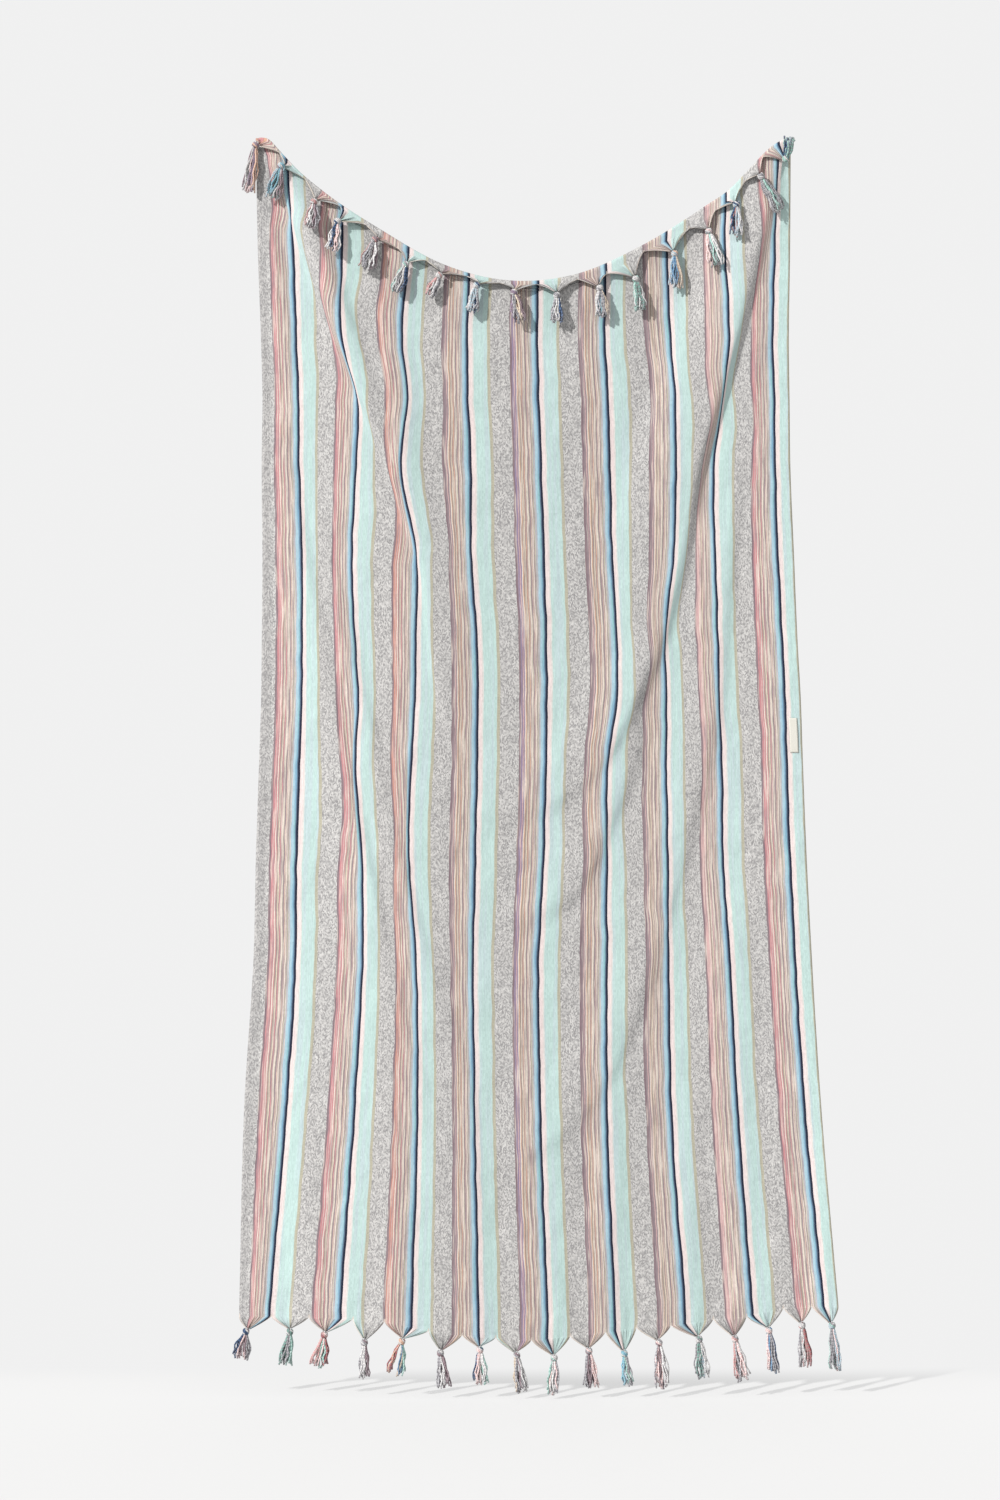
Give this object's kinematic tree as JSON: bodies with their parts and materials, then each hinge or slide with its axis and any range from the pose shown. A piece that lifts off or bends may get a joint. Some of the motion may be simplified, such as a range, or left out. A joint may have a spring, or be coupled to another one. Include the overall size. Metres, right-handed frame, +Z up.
{
  "type": "hammam towel",
  "caption": "Flat-woven striped hammam towel hanging by its top corners, with a sagging top edge, a short flap folded to the front, and pointed ends with knotted tassels.",
  "frame": {"origin": "middle of the straight line between the two held top corners, which are 0.80 m apart", "axes": "+Z up along the hanging cloth, +X to the viewer's right along the line between the corners, and the front of the towel, with its flap and label, faces -Y"},
  "size_m": [0.9151, 0.0393, 1.8836],
  "materials": {
    "striped_cloth": "matt flat weave with lengthwise stripes of mint, grey, sand, pink, mauve and blue between thin dark blue lines",
    "yarn_blue": "matt twisted yarn, mostly dark and light blue",
    "yarn_coral": "matt twisted yarn, mostly coral and grey",
    "yarn_grey": "matt twisted yarn, mostly grey",
    "yarn_mint": "matt twisted yarn, mostly mint and grey",
    "yarn_rose": "matt twisted yarn, mostly pink and mauve",
    "label_tape": "smooth cream tape, bare"
  },
  "bodies": {
    "root": {"cloth": "striped_cloth", "label": "label_tape", "tassel_top_01": "yarn_rose", "tassel_top_02": "yarn_blue", "tassel_top_03": "yarn_coral", "tassel_top_04": "yarn_blue", "tassel_top_05": "yarn_coral", "tassel_top_06": "yarn_blue", "tassel_top_07": "yarn_coral", "tassel_top_08": "yarn_grey", "tassel_top_09": "yarn_rose", "tassel_top_10": "yarn_grey", "tassel_top_11": "yarn_grey", "tassel_top_12": "yarn_mint", "tassel_top_13": "yarn_blue", "tassel_top_14": "yarn_rose", "tassel_top_15": "yarn_blue", "tassel_top_16": "yarn_grey", "tassel_top_17": "yarn_blue", "tassel_bottom_01": "yarn_blue", "tassel_bottom_02": "yarn_mint", "tassel_bottom_03": "yarn_coral", "tassel_bottom_04": "yarn_grey", "tassel_bottom_05": "yarn_coral", "tassel_bottom_06": "yarn_grey", "tassel_bottom_07": "yarn_mint", "tassel_bottom_08": "yarn_grey", "tassel_bottom_09": "yarn_rose", "tassel_bottom_10": "yarn_grey", "tassel_bottom_11": "yarn_blue", "tassel_bottom_12": "yarn_rose", "tassel_bottom_13": "yarn_mint", "tassel_bottom_14": "yarn_coral", "tassel_bottom_15": "yarn_blue", "tassel_bottom_16": "yarn_coral", "tassel_bottom_17": "yarn_mint"}
  },
  "joints": []
}
